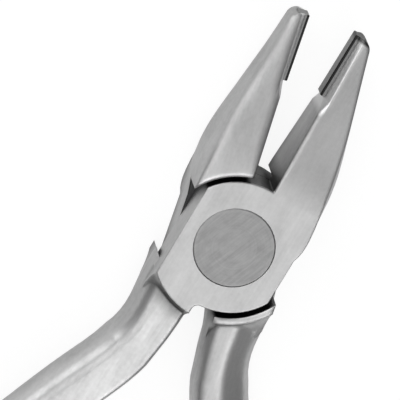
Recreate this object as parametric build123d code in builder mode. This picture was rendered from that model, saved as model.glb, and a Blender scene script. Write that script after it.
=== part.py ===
from build123d import *
import math
import os

# Orthodontic pliers, lap joint, with brazed carbide tips.
# Frame: +Y to the tips between the jaws, +X to the right, +Z up out of the front face.
# The origin is on the pivot axis, in the flat rear face of the joint. Sizes in millimetres and degrees.
# Each forging is drawn closed, with the closing plane of the jaws on x = 0 and its lap face on z = 0,
# its beak to the right of that plane and its handle to the left. Then it is turned to its place.

# Driving dimensions of the joint
joint_thickness = 9.3       # front face to rear face
joint_width = 14.0          # over the two flats, which are ground flush with the tool closed
pivot_offset = 0.26         # the pivot lies this far to the left of the middle of the joint
boss_radius = 8.43          # round end of each lap layer
shoulder_gap = 0.66         # dark gap between a boss and the other half's shoulder
plateau_width = 1.47        # raised face past the boss, a little way onto each handle
lap_clearance = 0.02        # between the two lap faces
front_opening = 6.4         # turn of the front half, as the tool is shown
rear_opening = 5.6          # turn of the rear half

# Driving dimensions of the pivot
disc_diameter = 10.0
disc_thickness = 1.4
disc_edge_chamfer = 0.12
pin_diameter = 6.0
spigot_diameter = 3.4
spigot_blind_depth = 0.9    # how far the front spigot goes into its disc
running_clearance = 0.03    # radial, where the front half turns on the pin
head_clearance = 0.05       # round and under the front disc, which stands still
press_clearance = 0.01      # radial, where the pin and discs are pressed home

# Driving dimensions of the beaks
beak_root = 2.0             # where its outline starts
beak_length = 29.6          # pivot axis to tip
beak_overrun = 2.4          # its sections run this far past the tip, which is cut later
beak_relief = 0.55          # each inner face stands back this far from the closing plane
taper_start = 10.0          # the beak thins from here to the tip
taper_blend_radius = 24.0
tip_thickness = 3.6
tip_corner_radius = 1.3
inner_edge_break = 0.22     # fine bevel along both inner edges
bevel_start = 19.3          # from here the inner edges are ground away towards the insert
bevel_width = 0.55          # how far that bevel reaches across the front face

# Outer edge of a beak: its distance from the joint's middle line at evenly spaced places, root to past the tip
beak_widths = [7.0, 7.5, 7.35, 5.95, 4.35, 2.85, 1.35]
beak_crown = 1.15           # how far the outer side bulges at the full thickness of the joint
crown_power = 3             # and how fast it flattens as the beak thins
flat_crown = 0.02           # bulge beside the joint, where the side is ground flat
crown_start = 5.0
crown_full = 12.0

# Driving dimensions of the carbide inserts
insert_start = 21.0
insert_width_root = 2.3
insert_width_tip = 2.0
insert_depth = 0.9          # set into the beak
insert_edge_break = 0.1
insert_margin = 0.12        # steel left beside the insert, each side

# Driving dimensions of the handles. The middle line of each goes through these points, first the shank
# and then the grip. The sizes beside them are width and thickness, evenly spaced along each line.
shank_points = [(-3.75, -3.0), (-3.95, -8.0), (-3.75, -12.5), (-4.45, -18.0)]
shank_sizes = [(6.3, 7.5), (7.3, 7.5), (6.8, 7.4), (7.2, 7.2)]
grip_points = [(-4.45, -18.0), (-6.95, -24.5), (-10.4, -33.0), (-15.8, -48.0), (-18.4, -65.0), (-17.7, -83.0),
               (-15.3, -98.0)]
grip_sizes = [(7.2, 7.2), (7.55, 6.7), (7.7, 6.1), (8.0, 5.6), (8.2, 5.2), (7.8, 5.0)]
splay = 14.0                # degrees outward where the shank becomes the grip
end_turn = 9.0              # degrees inward at the end of the grip
end_dome = 2.6              # length of the rounded end
dome_steps = 5
dome_last_angle = 85        # where the rounding stops short of a point
handle_edge_radius = 1.8    # along the ridge of the front and rear faces
handle_corner_radius = 0.35
inner_crown_share = 0.12    # the inner side bulges by this share of the width
ridge_share = (0.47, 0.8)   # its two faces are level as far as these shares of the width, lap layer's face last
bevel_share = (0.88, 0.94)
bevel_height_share = 0.52
crease_height_share = 0.92
cove_width = 3.0            # scoop from the plateau down to the handle
cove_depth = 2.6
cove_bend = (0.25, 0.5)     # shares of its width and depth where the scoop bends
root_inner_edge = 0.55      # inner edge of the plateau on the handle, from the closing plane
root_corner_radius = 0.8
root_taper = 1.0            # the plateau's block narrows by this much outside as it runs into the handle
root_inner_taper = 0.35     # and by this much inside
edge_break = 0.12           # along the round of each boss

# Values worked out from them
mid_height = joint_thickness / 2
beak_step = (beak_length + beak_overrun - beak_root) / (len(beak_widths) - 1)
layer_bottom = lap_clearance / 2
half_width = joint_width / 2
shoulder_radius = boss_radius + shoulder_gap
disc_radius = disc_diameter / 2
pin_radius = pin_diameter / 2
spigot_radius = spigot_diameter / 2
section_margin = 0.6        # sections of a beak stand this far past its faces, which are cut later
cutter_overrun = 0.5        # a bevel's cutter runs past the metal by this share
plateau_radius = boss_radius + plateau_width
cove_radius = plateau_radius + cove_width
reach = 2 * plateau_radius
splay_direction = (-math.sin(math.radians(splay)), -math.cos(math.radians(splay)))
end_direction = (math.sin(math.radians(end_turn)), -math.cos(math.radians(end_turn)))


def half_thickness(y):
    """Half the thickness of a beak at a distance from the pivot."""
    share = max(0, (y - taper_start) / (beak_length - taper_start))
    return mid_height + (tip_thickness / 2 - mid_height) * share


def beak_section(y, x, shift):
    """Section of a beak across the tool: flat inside, crowned outside."""
    edge = x + shift * min(1, max(0, (beak_length - y) / (beak_length - insert_start)))
    growth = min(1, max(0, (y - crown_start) / (crown_full - crown_start)))
    height = half_thickness(y) + section_margin
    bulge = (flat_crown + beak_crown * growth) * (height / mid_height) ** crown_power
    with BuildSketch(Plane.XZ.offset(-y)) as section:
        with BuildLine():
            Polyline(
                (edge - bulge, height),
                (beak_relief, height),
                (beak_relief, -height),
                (edge - bulge, -height),
            )
            ThreePointArc(
                (edge - bulge, -height),
                (edge, 0),
                (edge - bulge, height),
            )
        make_face()
    return section.sketch


def bevel_section(y, inner_height, face_height, width):
    """Section of the metal ground off one inner edge of a beak, a little larger than the beak itself."""
    rise = face_height - inner_height
    low = (beak_relief - cutter_overrun * width, inner_height - cutter_overrun * rise)
    high = (beak_relief + (1 + cutter_overrun) * width, face_height + cutter_overrun * rise)
    with BuildSketch(Plane.XZ.offset(-y)) as section:
        with BuildLine():
            Polyline(low, high, (low[0], high[1]), low)
        make_face()
    return section.sketch


def handle_section(line, share, size, scale=1.0, beyond=0.0):
    """Section of a handle: crowned inside, level on top as far as its ridge, then bevelled and round."""
    along = line % share
    middle = line @ share + along * beyond
    width = size[0] * scale
    height = size[1] * scale / 2
    inner = -width / 2
    crease = inner + inner_crown_share * width
    ridge, far_ridge = [inner + share * width for share in ridge_share]
    bevel, far_bevel = [inner + share * width for share in bevel_share]
    crease_height = crease_height_share * height
    bevel_height = bevel_height_share * height
    outward = Vector(along.Y, -along.X, 0)
    with BuildSketch(Plane(origin=middle, x_dir=outward, z_dir=along)) as section:
        with BuildLine():
            ThreePointArc((crease, -crease_height), (inner, 0), (crease, crease_height))
            Polyline((crease, crease_height), (ridge, height), (bevel, bevel_height))
            ThreePointArc((bevel, bevel_height), (width / 2, 0), (far_bevel, -bevel_height))
            Polyline((far_bevel, -bevel_height), (far_ridge, -height), (crease, -crease_height))
        make_face()
        fillet(section.vertices().sort_by(Axis.X)[2:4], radius=handle_edge_radius * scale)
        fillet(section.vertices().sort_by(Axis.X)[0:2], radius=handle_corner_radius * scale)
    return section.sketch


def insert_outline():
    """Working face of a carbide insert, seen from the closing plane."""
    with BuildSketch(Plane.YZ) as outline:
        with BuildLine():
            Polyline(
                (insert_start, -insert_width_root / 2),
                (insert_start, insert_width_root / 2),
                (beak_length, insert_width_tip / 2),
                (beak_length, -insert_width_tip / 2),
                close=True,
            )
        make_face()
    return outline.sketch


def forging(shift):
    """One half of the tool, closed: beak on the right, handle on the left, lap face looking down.

    Its outline lies off the pivot by the shift, to the right.
    """
    # The beak, crowned outside and thinned to the tip
    with BuildPart() as beak:
        for number, x in enumerate(beak_widths):
            add(beak_section(beak_root + number * beak_step, x, shift))
        loft()
        with BuildSketch(Plane.YZ) as side:
            with BuildLine():
                Polyline(
                    (beak_root, -mid_height),
                    (taper_start, -mid_height),
                    (beak_length, -tip_thickness / 2),
                    (beak_length, tip_thickness / 2),
                    (taper_start, mid_height),
                    (beak_root, mid_height),
                    close=True,
                )
            make_face()
            bends = side.vertices().filter_by(lambda v: abs(v.X - taper_start) < 0.01)
            fillet(bends, radius=taper_blend_radius)
        extrude(amount=reach, mode=Mode.INTERSECT)
        tip_edges = beak.edges().group_by(Axis.Y)[-1]
        fillet(tip_edges.sort_by(Axis.X)[-1], radius=tip_corner_radius)

    # What is ground off the inner edges, so that the beak is no wider there than its insert
    insert_edge_root = insert_width_root / 2 + insert_margin
    insert_edge_tip = insert_width_tip / 2 + insert_margin
    past_tip = beak_length + beak_overrun
    with BuildPart() as inner_bevels:
        for y in (beak_root, taper_start, bevel_start):
            height = half_thickness(y)
            add(bevel_section(y, height - inner_edge_break, height, inner_edge_break))
        add(bevel_section(insert_start, insert_edge_root, half_thickness(insert_start), bevel_width))
        add(bevel_section(past_tip, insert_edge_tip, half_thickness(past_tip), bevel_width))
        loft(ruled=True)
        mirror(about=Plane.XY)

    left_flat = shift - half_width
    root_corners = [
        (left_flat, 0),
        (left_flat, -plateau_radius),
        (left_flat + root_taper, -cove_radius),
        (-root_inner_edge - root_inner_taper, -cove_radius),
        (-root_inner_edge, -plateau_radius),
        (-root_inner_edge, 0),
    ]
    # The lap layer and the plateau, with the cove down to the handle
    with BuildPart() as joint:
        with BuildSketch(Plane.XY.offset(layer_bottom)) as layer:
            Circle(boss_radius)
            with Locations((shift, 0)):
                Rectangle(joint_width, reach, mode=Mode.INTERSECT)
            with BuildLine():
                Polyline(root_corners, close=True)
            make_face()
            inner_corner = layer.vertices().filter_by(lambda v: abs(v.X + root_inner_edge) < 0.01)
            fillet(inner_corner.sort_by(Axis.Y)[-1], radius=root_corner_radius)
        extrude(amount=mid_height - layer_bottom)
        with BuildSketch(Plane.XY.offset(layer_bottom)) as lower:
            with BuildLine():
                Polyline(root_corners, close=True)
            make_face()
        extrude(amount=-mid_height - layer_bottom)
        with BuildSketch(Plane.XZ) as cove:
            with BuildLine():
                Line((0, 0), (0, mid_height))
                Line((0, mid_height), (plateau_radius, mid_height))
                ThreePointArc(
                    (plateau_radius, mid_height),
                    (plateau_radius + cove_bend[0] * cove_width, mid_height - cove_bend[1] * cove_depth),
                    (cove_radius, mid_height - cove_depth),
                )
                Line((cove_radius, mid_height - cove_depth), (cove_radius, 0))
                Line((cove_radius, 0), (0, 0))
            make_face()
            mirror(about=Plane.XZ)
        revolve(axis=Axis.Z, mode=Mode.INTERSECT)
        boss_edges = joint.edges().group_by(Axis.Z)[-1].filter_by(GeomType.CIRCLE)
        chamfer(boss_edges.filter_by(lambda e: abs(e.radius - boss_radius) < 0.01), length=edge_break)

    # The handle: a shank, a grip and its rounded end
    with BuildLine() as shank_line:
        Spline([(x + shift, y) for x, y in shank_points], tangents=[(0, -1), splay_direction])
    with BuildLine() as grip_line:
        Spline([(x + shift, y) for x, y in grip_points], tangents=[splay_direction, end_direction])
    with BuildPart() as shank:
        for number, size in enumerate(shank_sizes):
            add(handle_section(shank_line.edge(), number / (len(shank_sizes) - 1), size))
        sweep(path=shank_line.edge(), multisection=True)
    with BuildPart() as grip:
        for number, size in enumerate(grip_sizes):
            add(handle_section(grip_line.edge(), number / (len(grip_sizes) - 1), size))
        sweep(path=grip_line.edge(), multisection=True)
    with BuildPart() as dome:
        for step in range(dome_steps):
            angle = math.radians(dome_last_angle * step / (dome_steps - 1))
            add(handle_section(grip_line.edge(), 1, grip_sizes[-1], math.cos(angle), end_dome * math.sin(angle)))
        loft(ruled=True)

    # All of it, less the room for the other half
    with BuildPart() as half:
        add(beak.part)
        add(inner_bevels.part, mode=Mode.SUBTRACT)
        add(shank.part)
        add(grip.part)
        add(dome.part)
        add(joint.part)
        with BuildSketch(Plane.XY.offset(layer_bottom)):
            Circle(shoulder_radius)
        extrude(amount=-reach, mode=Mode.SUBTRACT)
        with BuildSketch(Plane.XY.offset(-reach)):
            Circle(shoulder_radius)
            with Locations((left_flat, 0)):
                Rectangle(2 * reach, 2 * reach, align=(Align.MIN, Align.CENTER), mode=Mode.SUBTRACT)
        extrude(amount=2 * reach, mode=Mode.SUBTRACT)
        extrude(insert_outline(), amount=beak_relief + insert_depth, mode=Mode.SUBTRACT)
    return half.part


opened = (0, 0, -front_opening)
opened_and_turned_over = (0, 180, -rear_opening)

with BuildPart() as front_half:
    with Locations((0, 0, mid_height)):
        add(forging(pivot_offset), rotation=opened)
    with Locations((0, 0, joint_thickness)):
        CounterBoreHole(
            radius=pin_radius + running_clearance,
            counter_bore_radius=disc_radius + head_clearance,
            counter_bore_depth=disc_thickness + head_clearance,
        )

with BuildPart() as rear_half:
    with Locations((0, 0, mid_height)):
        add(forging(-pivot_offset), rotation=opened_and_turned_over)
    with BuildSketch(Plane.XY):
        Circle(disc_radius + press_clearance)
    extrude(amount=disc_thickness, mode=Mode.SUBTRACT)
    Hole(radius=pin_radius + press_clearance)

with BuildPart() as front_tip_insert:
    extrude(insert_outline(), amount=beak_relief + insert_depth)
    working_edges = front_tip_insert.edges().group_by(Axis.X)[0]
    chamfer(working_edges, length=insert_edge_break)

with BuildPart() as pivot_pin:
    with BuildSketch(Plane.XZ) as profile:
        with BuildLine():
            Polyline(
                (0, 0),
                (spigot_radius, 0),
                (spigot_radius, disc_thickness),
                (pin_radius, disc_thickness),
                (pin_radius, joint_thickness - disc_thickness),
                (spigot_radius, joint_thickness - disc_thickness),
                (spigot_radius, joint_thickness - disc_thickness + spigot_blind_depth),
                (0, joint_thickness - disc_thickness + spigot_blind_depth),
                close=True,
            )
        make_face()
    revolve(axis=Axis.Z)

with BuildPart() as rear_pivot_disc:
    with BuildSketch():
        Circle(disc_radius)
        Circle(spigot_radius + press_clearance, mode=Mode.SUBTRACT)
    extrude(amount=disc_thickness)
    rim = rear_pivot_disc.edges().group_by(Axis.Z)[0].sort_by(SortBy.RADIUS)[-1]
    chamfer(rim, length=disc_edge_chamfer)

with BuildPart() as front_pivot_disc:
    with BuildSketch(Plane.XY.offset(joint_thickness - disc_thickness)):
        Circle(disc_radius)
    extrude(amount=disc_thickness)
    chamfer(front_pivot_disc.edges().group_by(Axis.Z)[-1], length=disc_edge_chamfer)
    with Locations((0, 0, joint_thickness - disc_thickness)):
        Cylinder(
            spigot_radius + press_clearance,
            spigot_blind_depth,
            align=(Align.CENTER, Align.CENTER, Align.MIN),
            mode=Mode.SUBTRACT,
        )

os.makedirs("parts", exist_ok=True)
pieces = {
    "front_half": front_half,
    "rear_half": rear_half,
    "pivot_pin": pivot_pin,
    "front_pivot_disc": front_pivot_disc,
    "rear_pivot_disc": rear_pivot_disc,
}
for name, piece in pieces.items():
    piece.part.label = name
    export_step(piece.part, f"parts/{name}.step")

insert = front_tip_insert.part
for name, turn in {"front_tip_insert": opened, "rear_tip_insert": opened_and_turned_over}.items():
    placed = Location((0, 0, mid_height)) * Location((0, 0, 0), turn) * insert
    placed.label = name
    export_step(placed, f"parts/{name}.step")
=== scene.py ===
# %% [markdown]
# # Orthodontic pliers
# Two forged stainless steel halves turn on a pin in a lap joint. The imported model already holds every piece
# at its real size, in metres: +Y points to the tips, +X to the right and +Z out of the front face. This
# lesson gives those pieces their finishes, and sets up a white floor, soft lamps and a camera.

import math

import bmesh
import bpy
from mathutils import Matrix, Vector

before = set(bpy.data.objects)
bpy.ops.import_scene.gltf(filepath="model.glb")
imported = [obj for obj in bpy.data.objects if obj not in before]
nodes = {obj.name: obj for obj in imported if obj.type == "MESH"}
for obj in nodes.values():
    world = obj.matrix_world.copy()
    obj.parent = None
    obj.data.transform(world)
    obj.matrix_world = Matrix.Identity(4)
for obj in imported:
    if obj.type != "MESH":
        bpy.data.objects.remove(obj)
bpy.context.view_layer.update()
scene = bpy.context.scene
scene.view_settings.view_transform = "Standard"
MM = 0.001
print("nodes:", sorted(nodes))

# %% [markdown]
# ## Colours and nodes
# A colour is written as it looks on a screen, and one function turns it to the linear values that the shader
# works with. Another adds a shader node, sets its values and links its inputs. An input is named, or given
# by its number where names repeat: a Math node has inputs 0 and 1, and a Mix node of colours has its share
# at 0, its two colours at 6 and 7, and its result at output 2. A third makes an empty material. All the
# finishes below use these.


# %% Three small helpers
def linear(colour, alpha=1.0):
    """A screen colour such as "c8c8c8", as linear red, green, blue and alpha."""
    values = [int(colour[i:i + 2], 16) / 255 for i in (0, 2, 4)]
    return [v / 12.92 if v <= 0.04045 else ((v + 0.055) / 1.055) ** 2.4 for v in values] + [alpha]


def add_node(tree, kind, settings=None, **inputs):
    """Adds a node. Each input is a value, or the output socket that feeds it."""
    node = tree.nodes.new("ShaderNode" + kind)
    for name, value in (settings or {}).items():
        setattr(node, name, value)
    for name, value in inputs.items():
        socket = node.inputs[int(name[1:])] if name[1:].isdigit() else node.inputs[name.replace("_", " ")]
        if isinstance(value, bpy.types.NodeSocket):
            tree.links.new(value, socket)
        else:
            socket.default_value = value
    return node


def new_material(name):
    """An empty material and its node tree."""
    material = bpy.data.materials.new(name)
    material.use_nodes = True
    material.node_tree.nodes.clear()
    return material, material.node_tree


print("black and white:", linear("000000"), linear("ffffff"))

# %% [markdown]
# ## The camera
# The photograph looks down on the front face, a little from the left of the tips and from above. Its view
# was worked out from the round disc, the flats of the joint and the tips. Two directions in the tool's own
# frame give it: the camera's right, and the way back from the joint to the camera. AIM_OFFSET puts the joint
# a little to the right of the picture's middle and, as its second number is negative, below it. The lens is
# long, as in product photographs, so that the near parts don't look larger than the far ones.

# %% Place the camera
LAP_HEIGHT = 4.65
JOINT_MIDDLE = Vector((0, 0, LAP_HEIGHT)) * MM
CAMERA_RIGHT = Vector((0.9068, 0.4099, 0.0985))
CAMERA_BACK = Vector((-0.2146, 0.2477, 0.9448)).normalized()
CAMERA_DISTANCE = 674.1 * MM
AIM_OFFSET = (3.7025 * MM, -4.3698 * MM)

camera_data = bpy.data.cameras.new("camera")
camera = bpy.data.objects.new("camera", camera_data)
scene.collection.objects.link(camera)
scene.camera = camera
camera_up = CAMERA_BACK.cross(CAMERA_RIGHT).normalized()
camera_right = camera_up.cross(CAMERA_BACK).normalized()
turn = Matrix((camera_right, camera_up, CAMERA_BACK)).transposed()
place = (JOINT_MIDDLE - camera_right * AIM_OFFSET[0] - camera_up * AIM_OFFSET[1]
         + CAMERA_BACK * CAMERA_DISTANCE)
camera.matrix_world = Matrix.Translation(place) @ turn.to_4x4()
print("camera at", [round(v, 4) for v in place])

# %% Set the lens
IMAGE_SIZE = 400
FOCAL_PIXELS = 5524.6
SENSOR_WIDTH = 36.0

camera_data.sensor_width = SENSOR_WIDTH
camera_data.lens = FOCAL_PIXELS / IMAGE_SIZE * SENSOR_WIDTH
camera_data.clip_start = 0.01
camera_data.clip_end = 10
print("lens of", round(camera_data.lens), "mm")

# %% [markdown]
# ## Places on a forging
# The two halves are the same forging, and the patterns on them depend on where a point lies: across and
# along the beak, how high, and how far from the pivot. Each half is turned a few degrees from closed, so a
# Mapping node turns the Object coordinates back first, and both halves can share one finish. The normal
# tells the level faces from the upright sides.

# %% Find where a point of a half lies
FRONT_OPENING = 6.4
REAR_OPENING = 5.6
UPRIGHT_RANGE = (0.4, 0.75)


def spots_on_half(tree, angle):
    """Where a point lies on a half that is turned by an angle in degrees from closed."""
    place = add_node(tree, "TexCoord").outputs["Object"]
    turned = add_node(tree, "Mapping", Vector=place, Rotation=(0, 0, math.radians(-angle))).outputs[0]
    parts = add_node(tree, "SeparateXYZ", Vector=turned).outputs
    flat = add_node(tree, "VectorMath", {"operation": "MULTIPLY"}, _0=place, _1=(1, 1, 0)).outputs[0]
    normal = add_node(tree, "NewGeometry").outputs["Normal"]
    upward = add_node(tree, "SeparateXYZ", Vector=normal).outputs["Z"]
    level = add_node(tree, "Math", {"operation": "ABSOLUTE"}, _0=upward).outputs[0]
    return {
        "turned": turned,
        "across": add_node(tree, "Math", {"operation": "ABSOLUTE"}, _0=parts["X"]).outputs[0],
        "along": parts["Y"],
        "height": parts["Z"],
        "from_pivot": add_node(tree, "VectorMath", {"operation": "LENGTH"}, _0=flat).outputs["Value"],
        "upright": add_node(tree, "MapRange", Value=level, From_Min=UPRIGHT_RANGE[0],
                            From_Max=UPRIGHT_RANGE[1], To_Min=1.0, To_Max=0.0).outputs[0],
    }


print("halves turned by", -FRONT_OPENING, "and", REAR_OPENING, "degrees")

# %% [markdown]
# ## Satin stainless steel
# The halves are drop forged, ground on their flats and then satin finished on a fine belt that runs along
# the beaks. The eye gets a soft, wide highlight, faint scratches that run lengthwise, and long cloudy streaks
# where the belt pressed more or less. The scratches could be a picture. Noise stretched along the belt's
# direction is finer and follows each half, so it is used here. Real scratches are about 0.02 mm wide, too
# fine for the picture, so they are drawn 0.14 mm wide.

# %% Marks of the belt
STEEL = "b4b4b4"
STEEL_BRIGHT = "d0d0d0"
SCRATCH_WIDTH = 0.14
SCRATCH_LENGTH = 6.0
GRAIN_SIZE = 0.5
STREAK_WIDTH = 2.5
STREAK_LENGTH = 7.0
STREAK_WEIGHT = 2.0
MARKS_RANGE = (1.1, 1.9)
CLOUD_RANGE = (1.5, 3.5)
MATT = 0.42
SMOOTH = 0.32


def belt_marks(tree, spots):
    """The height of the belt's marks, and the colour and roughness that they leave."""
    turned = spots["turned"]
    thin = add_node(tree, "Mapping", Vector=turned, Scale=(1, SCRATCH_WIDTH / SCRATCH_LENGTH, 1)).outputs[0]
    scratches = add_node(tree, "TexNoise", Vector=thin, Scale=1 / (2 * SCRATCH_WIDTH * MM), Detail=3.0,
                         Roughness=0.6).outputs["Fac"]
    wide = add_node(tree, "Mapping", Vector=turned, Scale=(1, STREAK_WIDTH / STREAK_LENGTH, 1)).outputs[0]
    streaks = add_node(tree, "TexNoise", Vector=wide, Scale=1 / (STREAK_WIDTH * MM), Detail=4.0,
                       Roughness=0.6).outputs["Fac"]
    grain = add_node(tree, "TexNoise", Vector=turned, Scale=1 / (GRAIN_SIZE * MM), Detail=2.0,
                     Roughness=0.5).outputs["Fac"]
    marks = add_node(tree, "Math", {"operation": "ADD"}, _0=scratches, _1=streaks).outputs[0]
    marks = add_node(tree, "Math", {"operation": "ADD"}, _0=marks, _1=grain).outputs[0]
    cloudy = add_node(tree, "Math", {"operation": "MULTIPLY_ADD"}, _0=streaks, _1=STREAK_WEIGHT,
                      _2=marks).outputs[0]
    share = add_node(tree, "MapRange", Value=cloudy, From_Min=CLOUD_RANGE[0],
                     From_Max=CLOUD_RANGE[1]).outputs[0]
    colour = add_node(tree, "Mix", {"data_type": "RGBA"}, _0=share, _6=linear(STEEL),
                      _7=linear(STEEL_BRIGHT)).outputs[2]
    rough = add_node(tree, "MapRange", Value=marks, From_Min=MARKS_RANGE[0], From_Max=MARKS_RANGE[1],
                     To_Min=MATT, To_Max=SMOOTH).outputs[0]
    return marks, colour, rough


print("belt scratches of", SCRATCH_WIDTH, "mm and streaks of", STREAK_WIDTH, "mm")

# %% [markdown]
# ## Painted shade in the joint
# Shade is painted into the steel's colour in the crevices, on the lap faces, and on the walls at the root of
# the jaws. The steel is dark there, which draws the joint. An Ambient Occlusion node finds the crevices by
# itself, and the lap faces and the walls are found by their place. The edge round the disc and the beaks and
# handles past the joint are left without it.

# %% Painted shade in crevices and on the lap faces
# The tones here are painted shade, in the crevices and on the lap faces.
CREVICE = 3.0
CREVICE_RANGE = (0.3, 0.95)
CREVICE_SHADE_TONE = 0.22
SHADE_FULL_TO = 9.0
SHADE_GONE_FROM = 16.0
BORE_RADIUS = 5.05
UNSHADED_RIM = (0.1, 0.6)
LAP_BAND = (0.1, 0.4)
LAP_REACH = 13.0
LAP_SHADE_TONE = 0.12


def keep_painted_shade(tree, spots):
    """The share of its brightness that the steel keeps under the painted shade, which is 1 where there is
    none.
    """
    from_pivot = spots["from_pivot"]
    openness = add_node(tree, "AmbientOcclusion", {"samples": 8}, Distance=CREVICE * MM).outputs["AO"]
    unshaded = add_node(tree, "MapRange", Value=openness, From_Min=CREVICE_RANGE[0], From_Max=CREVICE_RANGE[1],
                     To_Min=CREVICE_SHADE_TONE, To_Max=1.0).outputs[0]
    rim = add_node(tree, "MapRange", Value=from_pivot, From_Min=(BORE_RADIUS + UNSHADED_RIM[0]) * MM,
                   From_Max=(BORE_RADIUS + UNSHADED_RIM[1]) * MM, To_Min=1.0, To_Max=0.0).outputs[0]
    away = add_node(tree, "MapRange", Value=from_pivot, From_Min=SHADE_FULL_TO * MM,
                    From_Max=SHADE_GONE_FROM * MM).outputs[0]
    for shade_free in (rim, away):
        unshaded = add_node(tree, "Math", {"operation": "MAXIMUM"}, _0=unshaded, _1=shade_free).outputs[0]

    above_lap = add_node(tree, "Math", {"operation": "SUBTRACT"}, _0=spots["height"],
                         _1=LAP_HEIGHT * MM).outputs[0]
    from_lap = add_node(tree, "Math", {"operation": "ABSOLUTE"}, _0=above_lap).outputs[0]
    lap_shade = add_node(tree, "MapRange", Value=from_lap, From_Min=LAP_BAND[0] * MM, From_Max=LAP_BAND[1] * MM,
                    To_Min=LAP_SHADE_TONE, To_Max=1.0).outputs[0]
    past_lap = add_node(tree, "Math", {"operation": "GREATER_THAN"}, _0=from_pivot,
                        _1=LAP_REACH * MM).outputs[0]
    for unshaded_part in (past_lap, spots["upright"]):
        lap_shade = add_node(tree, "Math", {"operation": "MAXIMUM"}, _0=lap_shade, _1=unshaded_part).outputs[0]
    return add_node(tree, "Math", {"operation": "MINIMUM"}, _0=unshaded, _1=lap_shade).outputs[0]


print("oil reaches", SHADE_FULL_TO, "mm from the pivot and fades out by", SHADE_GONE_FROM, "mm")

# %% Painted shade on the walls at the root of the jaws
WALL_RANGE = (9.3, 11.0)
WALL_SIDE = 4.5
WALL_SHADE_TONE = 0.35


def keep_painted_wall_shade(tree, spots):
    """The same share of painted shade, for the upright walls that close the gap between the beaks."""
    unshaded = add_node(tree, "MapRange", Value=spots["from_pivot"], From_Min=WALL_RANGE[0] * MM,
                     From_Max=WALL_RANGE[1] * MM, To_Min=WALL_SHADE_TONE, To_Max=1.0).outputs[0]
    level = add_node(tree, "Math", {"operation": "SUBTRACT"}, _0=1.0, _1=spots["upright"]).outputs[0]
    outside = add_node(tree, "Math", {"operation": "GREATER_THAN"}, _0=spots["across"],
                       _1=WALL_SIDE * MM).outputs[0]
    for unshaded_part in (level, outside):
        unshaded = add_node(tree, "Math", {"operation": "MAXIMUM"}, _0=unshaded, _1=unshaded_part).outputs[0]
    return unshaded


print("walls oiled within", WALL_SIDE, "mm of the closing plane")

# %% [markdown]
# ## Painted shade in the cove and a dark tip
# Shade is painted into the small cove where the handle leaves the joint, and it fades out down the handle.
# The photograph shows it dark on the front half only. The end of that half's beak is darkened too. Both are
# shares of brightness again, and each half gets its own.

# %% Painted shade in the cove and the dark tip end
COVE_TOP = 9.93
COVE_END = 12.4
COVE_SIDE = 4.0
# The end of the front beak is darkened from here along the beak.
DARK_TIP_RANGE = (28.95, 29.25)


def keep_painted_cove_shade(tree, spots, tone):
    """The share of brightness in the cove below the joint's raised face, where shade is painted."""
    cove_shade = add_node(tree, "MapRange", {"interpolation_type": "SMOOTHSTEP"}, Value=spots["from_pivot"],
                    From_Min=COVE_TOP * MM, From_Max=COVE_END * MM, To_Min=tone, To_Max=1.0).outputs[0]
    beak = add_node(tree, "MapRange", Value=spots["along"], From_Min=-COVE_SIDE * MM, From_Max=0.0).outputs[0]
    joint = add_node(tree, "Math", {"operation": "LESS_THAN"}, _0=spots["from_pivot"],
                     _1=COVE_TOP * MM).outputs[0]
    for outside_cove in (beak, joint, spots["upright"]):
        cove_shade = add_node(tree, "Math", {"operation": "MAXIMUM"}, _0=cove_shade, _1=outside_cove).outputs[0]
    return cove_shade


def darken_tip_end(tree, along, tone):
    """The share of brightness at the end of a beak, which is darkened there."""
    return add_node(tree, "MapRange", Value=along, From_Min=DARK_TIP_RANGE[0] * MM,
                    From_Max=DARK_TIP_RANGE[1] * MM, To_Min=1.0, To_Max=tone).outputs[0]


print("forged skin from", COVE_TOP, "to", COVE_END, "mm from the pivot, burnt from", DARK_TIP_RANGE[0], "mm")

# %% [markdown]
# ## Painted highlight on the bevels, and worn edges
# The bevel beside each insert is painted brighter than the beak: a painted highlight, because it mirrors the
# shaded floor and the insert and would look dark. The other edges have been worn round by the belt and by
# use, and each catches a fine line of light. They could be modelled round, but a Bevel node bends the normals
# there instead, and leaves the imported model's mesh alone. The edges at the bore stay crisp, so the bend
# grows with the distance from the pivot.

# %% Bevels and edges
# The bevel's bright colour is a painted highlight.
BEVEL_PAINTED_LIGHT = "f0f0f0"
BEVEL_SIDE = (1.1, 1.2)
BEVEL_START = (19.0, 20.0)
BORE_EDGE = 0.06
WEAR_RADIUS = 13.0


def paint_bevel_light(tree, spots, colour):
    """The colour, with a painted highlight on the bevel beside the insert."""
    near = add_node(tree, "MapRange", Value=spots["across"], From_Min=BEVEL_SIDE[0] * MM,
                    From_Max=BEVEL_SIDE[1] * MM, To_Min=1.0, To_Max=0.0).outputs[0]
    beyond = add_node(tree, "MapRange", Value=spots["along"], From_Min=BEVEL_START[0] * MM,
                      From_Max=BEVEL_START[1] * MM).outputs[0]
    # The share of painted highlight on the bevel.
    ground = add_node(tree, "Math", {"operation": "MULTIPLY"}, _0=near, _1=beyond).outputs[0]
    return add_node(tree, "Mix", {"data_type": "RGBA"}, _0=ground, _6=colour,
                    _7=linear(BEVEL_PAINTED_LIGHT)).outputs[2]


def wear_edges(tree, spots, radius):
    """Normals that are bent round at the edges, by a radius in mm past the joint and less near the bore."""
    wear = add_node(tree, "MapRange", Value=spots["from_pivot"], From_Min=(BORE_RADIUS + BORE_EDGE) * MM,
                    From_Max=WEAR_RADIUS * MM, To_Min=BORE_EDGE * MM, To_Max=radius * MM).outputs[0]
    return add_node(tree, "Bevel", {"samples": 8}, Radius=wear).outputs[0]


print("bevels ground from", BEVEL_START[0], "mm, edges fully worn from", WEAR_RADIUS, "mm")

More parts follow.
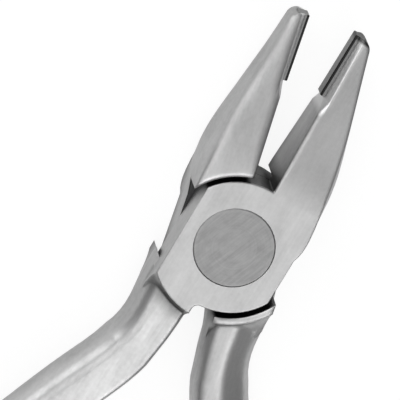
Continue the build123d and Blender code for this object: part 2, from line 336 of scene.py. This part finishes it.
# %% [markdown]
# ## The two forgings
# All of that goes into one material for each half. The belt's marks and the bevel's painted highlight give
# the colour, and the painted shade in the crevices, on the lap faces, on the walls and in the cove, and the
# dark tip end, take their shares of it. The marks are also a shallow bump on the bent normals, because a
# ground face is never quite flat.

# %% Finish of the two forgings
MARK_DEPTH = 0.012
BELT_BUMP = 0.12
FRONT_WEAR = 0.7
REAR_WEAR = 1.6
# The front half gets painted shade in its cove and a dark tip end, the rear half neither.
FRONT_COVE = 0.45
FRONT_TIP = 0.15
UNDARKENED = 1.0


def satin_steel(name, angle, worn_edge, cove_tone, tip_tone):
    """Belt-ground stainless steel for a half turned by an angle in degrees, its edges worn round in mm."""
    material, tree = new_material(name)
    spots = spots_on_half(tree, angle)
    marks, colour, rough = belt_marks(tree, spots)
    colour = paint_bevel_light(tree, spots, colour)
    # What is kept is the brightness left after the painted shade and the dark tip end.
    kept = keep_painted_shade(tree, spots)
    for share in (keep_painted_cove_shade(tree, spots, cove_tone), darken_tip_end(tree, spots["along"], tip_tone),
                  keep_painted_wall_shade(tree, spots)):
        kept = add_node(tree, "Math", {"operation": "MULTIPLY"}, _0=kept, _1=share).outputs[0]
    colour = add_node(tree, "Mix", {"data_type": "RGBA"}, _0=kept, _6=linear("000000"),
                      _7=colour).outputs[2]
    bump = add_node(tree, "Bump", Strength=BELT_BUMP, Distance=MARK_DEPTH * MM, Height=marks,
                    Normal=wear_edges(tree, spots, worn_edge)).outputs[0]
    shader = add_node(tree, "BsdfPrincipled", Base_Color=colour, Metallic=1.0, Roughness=rough, Normal=bump)
    add_node(tree, "OutputMaterial", Surface=shader.outputs[0])
    return material


finishes = {
    "front_half": satin_steel("satin_stainless_front", -FRONT_OPENING, FRONT_WEAR, FRONT_COVE, FRONT_TIP),
    "rear_half": satin_steel("satin_stainless_rear", REAR_OPENING, REAR_WEAR, UNDARKENED, UNDARKENED),
}
print("steel of", sorted(finishes))

# %% [markdown]
# ## Ground steel of the pivot
# The discs and the pin are harder bar steel, a little darker than the forgings. They are turned in a lathe
# and then ground flush with the joint on a fine wheel, so the eye gets a trace of the turned rings, crossed
# by short ground lines in one direction, and cloudy patches. The rings come from noise that reads one number
# only: the distance from the pivot axis. The lines come from noise stretched along the wheel's direction.
# The wheel rubs the rim nearly flat, so the Bevel node's normals are bent most of the way back to the face
# there, and the disc's edge shows as a hairline.

# %% Finish of the discs and the pin
RING_WIDTH = 0.35
RING_SHARE = 0.35
GROUND_LINE = 0.16
GROUND_LENGTH = 2.5
CLOUD_SIZE = 1.6
WHEEL_ANGLE = -28
WHEEL_RANGE = (0.65, 1.65)
WHEEL_BUMP = 0.25
PIVOT_ROUGHNESS = 0.4
RIM_EDGE = 0.1
RUBBED_FLAT = (0.3, 0.3, 1)


def turned_steel(name, dark, bright):
    """Lathe-turned steel, ground flush."""
    material, tree = new_material(name)
    place = add_node(tree, "TexCoord").outputs["Object"]
    flat = add_node(tree, "VectorMath", {"operation": "MULTIPLY"}, _0=place, _1=(1, 1, 0)).outputs[0]
    radius = add_node(tree, "VectorMath", {"operation": "LENGTH"}, _0=flat).outputs["Value"]
    rings = add_node(tree, "TexNoise", {"noise_dimensions": "1D"}, W=radius, Scale=1 / (RING_WIDTH * MM),
                     Detail=2.0).outputs["Fac"]
    turned = add_node(tree, "Mapping", Vector=place, Rotation=(0, 0, math.radians(-WHEEL_ANGLE))).outputs[0]
    thin = add_node(tree, "Mapping", Vector=turned, Scale=(1, GROUND_LINE / GROUND_LENGTH, 1)).outputs[0]
    lines = add_node(tree, "TexNoise", Vector=thin, Scale=1 / (2 * GROUND_LINE * MM), Detail=3.0,
                     Roughness=0.6).outputs["Fac"]
    clouds = add_node(tree, "TexNoise", Vector=place, Scale=1 / (CLOUD_SIZE * MM), Detail=4.0,
                      Roughness=0.6).outputs["Fac"]
    marks = add_node(tree, "Math", {"operation": "ADD"}, _0=lines, _1=clouds).outputs[0]
    marks = add_node(tree, "Math", {"operation": "MULTIPLY_ADD"}, _0=rings, _1=RING_SHARE,
                     _2=marks).outputs[0]
    share = add_node(tree, "MapRange", Value=marks, From_Min=WHEEL_RANGE[0],
                     From_Max=WHEEL_RANGE[1]).outputs[0]
    colour = add_node(tree, "Mix", {"data_type": "RGBA"}, _0=share, _6=linear(dark),
                      _7=linear(bright)).outputs[2]
    edges = add_node(tree, "Bevel", {"samples": 6}, Radius=RIM_EDGE * MM).outputs[0]
    edges = add_node(tree, "VectorMath", {"operation": "MULTIPLY"}, _0=edges, _1=RUBBED_FLAT).outputs[0]
    edges = add_node(tree, "VectorMath", {"operation": "NORMALIZE"}, _0=edges).outputs[0]
    bump = add_node(tree, "Bump", Strength=WHEEL_BUMP, Distance=MARK_DEPTH * MM, Height=marks,
                    Normal=edges).outputs[0]
    shader = add_node(tree, "BsdfPrincipled", Base_Color=colour, Metallic=1.0, Roughness=PIVOT_ROUGHNESS,
                      Normal=bump)
    add_node(tree, "OutputMaterial", Surface=shader.outputs[0])
    return material


disc_finish = turned_steel("ground_hard_steel", "888888", "a8a8a8")
finishes["front_pivot_disc"] = disc_finish
finishes["rear_pivot_disc"] = disc_finish
finishes["pivot_pin"] = turned_steel("ground_pin_steel", "969696", "b4b4b4")
print("discs and pin in", disc_finish.name, "and", finishes["pivot_pin"].name)

# %% [markdown]
# ## Brazed and ground carbide
# The inserts are sintered tungsten carbide, brazed into the beaks with a torch and then ground on a diamond
# wheel. The eye gets a nearly black strip on the front and rear faces along the working edge, and grey metal
# with short lines across it on the working face, on the end and beside the steel.
# The normal tells the working face and the end from the front and rear faces, and the distance from the
# closing plane gives the strip its width. The end of the front insert is darkened with the steel around it.

# %% Finish of the inserts
# The strip along the working edge is nearly black.
EDGE_STRIP = "262626"
EDGE_STRIP_LIGHT = "3a3a3a"
GROUND = "787878"
GROUND_LIGHT = "9a9a9a"
WHEEL_LINE = 0.1
LINE_STRETCH = 0.05
CARBIDE_GRAIN = 0.25
STRIP_EDGE = (0.3, 0.35)
FACE_RANGE = (0.2, 0.5)
CARBIDE_BUMP = 0.15
CARBIDE_DEPTH = 0.01
CARBIDE_ROUGHNESS = 0.38


def brazed_carbide(name, angle, tip_tone):
    """Carbide, nearly black along the working edge and ground bright where it works, in a beak that is turned
    by an angle in degrees.
    """
    material, tree = new_material(name)
    place = add_node(tree, "TexCoord").outputs["Object"]
    turned = add_node(tree, "Mapping", Vector=place, Rotation=(0, 0, math.radians(-angle))).outputs[0]
    parts = add_node(tree, "SeparateXYZ", Vector=turned).outputs
    across = add_node(tree, "Math", {"operation": "ABSOLUTE"}, _0=parts["X"]).outputs[0]
    beside_steel = add_node(tree, "MapRange", Value=across, From_Min=STRIP_EDGE[0] * MM,
                            From_Max=STRIP_EDGE[1] * MM).outputs[0]
    normal = add_node(tree, "NewGeometry").outputs["Normal"]
    upward = add_node(tree, "SeparateXYZ", Vector=normal).outputs["Z"]
    level = add_node(tree, "Math", {"operation": "ABSOLUTE"}, _0=upward).outputs[0]
    worked = add_node(tree, "MapRange", Value=level, From_Min=FACE_RANGE[0], From_Max=FACE_RANGE[1],
                      To_Min=1.0, To_Max=0.0).outputs[0]
    worked = add_node(tree, "Math", {"operation": "MAXIMUM"}, _0=worked, _1=beside_steel).outputs[0]
    worked = add_node(tree, "Math", {"operation": "MULTIPLY"}, _0=worked,
                      _1=darken_tip_end(tree, parts["Y"], tip_tone)).outputs[0]
    short = add_node(tree, "Mapping", Vector=place, Scale=(LINE_STRETCH, 1, LINE_STRETCH)).outputs[0]
    lines = add_node(tree, "TexNoise", Vector=short, Scale=1 / (WHEEL_LINE * MM),
                     Detail=3.0).outputs["Fac"]
    grain = add_node(tree, "TexNoise", Vector=place, Scale=1 / (CARBIDE_GRAIN * MM),
                     Detail=3.0).outputs["Fac"]
    dark = add_node(tree, "Mix", {"data_type": "RGBA"}, _0=grain, _6=linear(EDGE_STRIP),
                    _7=linear(EDGE_STRIP_LIGHT)).outputs[2]
    bright = add_node(tree, "Mix", {"data_type": "RGBA"}, _0=lines, _6=linear(GROUND),
                      _7=linear(GROUND_LIGHT)).outputs[2]
    colour = add_node(tree, "Mix", {"data_type": "RGBA"}, _0=worked, _6=dark, _7=bright).outputs[2]
    bump = add_node(tree, "Bump", Strength=CARBIDE_BUMP, Distance=CARBIDE_DEPTH * MM,
                    Height=lines).outputs[0]
    shader = add_node(tree, "BsdfPrincipled", Base_Color=colour, Metallic=1.0, Roughness=CARBIDE_ROUGHNESS,
                      Normal=bump)
    add_node(tree, "OutputMaterial", Surface=shader.outputs[0])
    return material


finishes["front_tip_insert"] = brazed_carbide("brazed_carbide_front", -FRONT_OPENING, FRONT_TIP)
finishes["rear_tip_insert"] = brazed_carbide("brazed_carbide_rear", REAR_OPENING, UNDARKENED)
print("carbide of", [name for name in sorted(finishes) if name.endswith("insert")])

# %% [markdown]
# ## The pieces
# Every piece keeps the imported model's mesh, so the finishes only have to go into its material slots.

# %% Put the finishes on the pieces
for name, finish in finishes.items():
    slots = nodes[name].material_slots
    for number in range(len(slots)):
        slots[number].material = finish
print("finished:", sorted(finishes))

# %% [markdown]
# ## Floor
# The tool lies on white paper that runs out of the picture. The paper is plain white where the camera looks
# at it, but keeps a part of its real shade, so that the tool's shadow stays. The sides of the tool mirror
# the paper beside them, and the shadow there would make them too dark. So about a third of what a mirrored
# ray sees in the paper is a plain, softly glowing white.

# %% Lay the paper
FLOOR_HALF_SIZE = 1.5

sheet = bmesh.new()
bmesh.ops.create_grid(sheet, x_segments=1, y_segments=1, size=FLOOR_HALF_SIZE)
floor_mesh = bpy.data.meshes.new("paper_floor")
sheet.to_mesh(floor_mesh)
sheet.free()
floor = bpy.data.objects.new("paper_floor", floor_mesh)
scene.collection.objects.link(floor)
print("paper of", 2 * FLOOR_HALF_SIZE, "m")

# %% Make the paper white
PAPER = "f4f4f4"
SHADE_KEPT = 0.2
PAPER_GLOW = 1.1
MIRRORED_SHARE = 0.35
MIRRORED_GLOW = 0.75

paper, tree = new_material("white_paper")
rays = add_node(tree, "LightPath").outputs
real = add_node(tree, "BsdfDiffuse", Color=linear(PAPER)).outputs[0]
plain = add_node(tree, "Emission", Color=linear("ffffff"), Strength=PAPER_GLOW).outputs[0]
soft = add_node(tree, "Emission", Color=linear("ffffff"), Strength=MIRRORED_GLOW).outputs[0]
mirrored = add_node(tree, "Math", {"operation": "MULTIPLY"}, _0=rays["Is Glossy Ray"],
                    _1=MIRRORED_SHARE).outputs[0]
seen = add_node(tree, "Math", {"operation": "MULTIPLY"}, _0=rays["Is Camera Ray"],
                _1=1 - SHADE_KEPT).outputs[0]
in_metal = add_node(tree, "MixShader", _0=mirrored, _1=real, _2=soft).outputs[0]
mixed = add_node(tree, "MixShader", _0=seen, _1=in_metal, _2=plain).outputs[0]
add_node(tree, "OutputMaterial", Surface=mixed)
floor_mesh.materials.append(paper)
print("paper glows at", PAPER_GLOW, "to the camera")

# %% [markdown]
# ## Room
# Satin steel shows the room that it stands in, so the room and the lamps are chosen for their reflections.
# The camera sees a white room. The steel sees a dim one, darker at the walls than overhead, because the
# shaded sides of the beaks and handles need something dark to mirror.

# %% Build the room
WALL_LEVEL = 0.22
CEILING_LEVEL = 0.32
WALL_TOP = 0.4

world = bpy.data.worlds.new("studio")
scene.world = world
world.use_nodes = True
world.node_tree.nodes.clear()
tree = world.node_tree
rays = add_node(tree, "LightPath").outputs
direction = add_node(tree, "TexCoord").outputs["Generated"]
height = add_node(tree, "SeparateXYZ", Vector=direction).outputs["Z"]
level = add_node(tree, "MapRange", Value=height, From_Min=WALL_TOP, From_Max=1.0, To_Min=WALL_LEVEL,
                 To_Max=CEILING_LEVEL).outputs[0]
room = add_node(tree, "Background", Color=linear("ffffff"), Strength=level).outputs[0]
white = add_node(tree, "Background", Color=linear("ffffff"), Strength=1.0).outputs[0]
mixed = add_node(tree, "MixShader", _0=rays["Is Camera Ray"], _1=room, _2=white).outputs[0]
add_node(tree, "OutputWorld", Surface=mixed)
print("room from", WALL_LEVEL, "at the walls to", CEILING_LEVEL, "overhead")

# %% [markdown]
# ## Lamps
# Four soft lamps stand around the tool. The left one is low, and lights the left sides of the beaks and the
# handles. The right one, past the handles, gives the front faces their wide, soft highlight. The upper left
# one is nearly overhead and lights the faces that lean a little to the left, and a dim one on top fills in.
# Each lamp is placed by its direction from the joint, and its power follows from how bright its face looks.

# %% Light the stage
LAMP_DISTANCE = 1.2


def softbox(name, azimuth, elevation, width, height, brightness):
    """A lamp that looks at the joint. Brightness 1 looks as bright as white paper."""
    side, up = math.radians(azimuth), math.radians(elevation)
    away = Vector((math.cos(up) * math.cos(side), math.cos(up) * math.sin(side), math.sin(up)))
    place = LAMP_DISTANCE * away
    data = bpy.data.lights.new(name, "AREA")
    data.shape = "RECTANGLE"
    data.size = width
    data.size_y = height
    data.energy = brightness * math.pi * width * height
    lamp = bpy.data.objects.new(name, data)
    scene.collection.objects.link(lamp)
    lamp.matrix_world = Matrix.Translation(place) @ place.to_track_quat("Z", "Y").to_matrix().to_4x4()
    print(name, "at", [round(v, 2) for v in place], "power", round(data.energy, 1))


softbox("left_softbox", 142, 26, 1.1, 1.1, 1.8)
softbox("upper_left_softbox", 170, 78, 1.2, 0.8, 1.0)
softbox("right_softbox", 310, 46, 0.8, 0.8, 1.8)
softbox("top_softbox", 290, 76, 0.9, 0.9, 0.2)
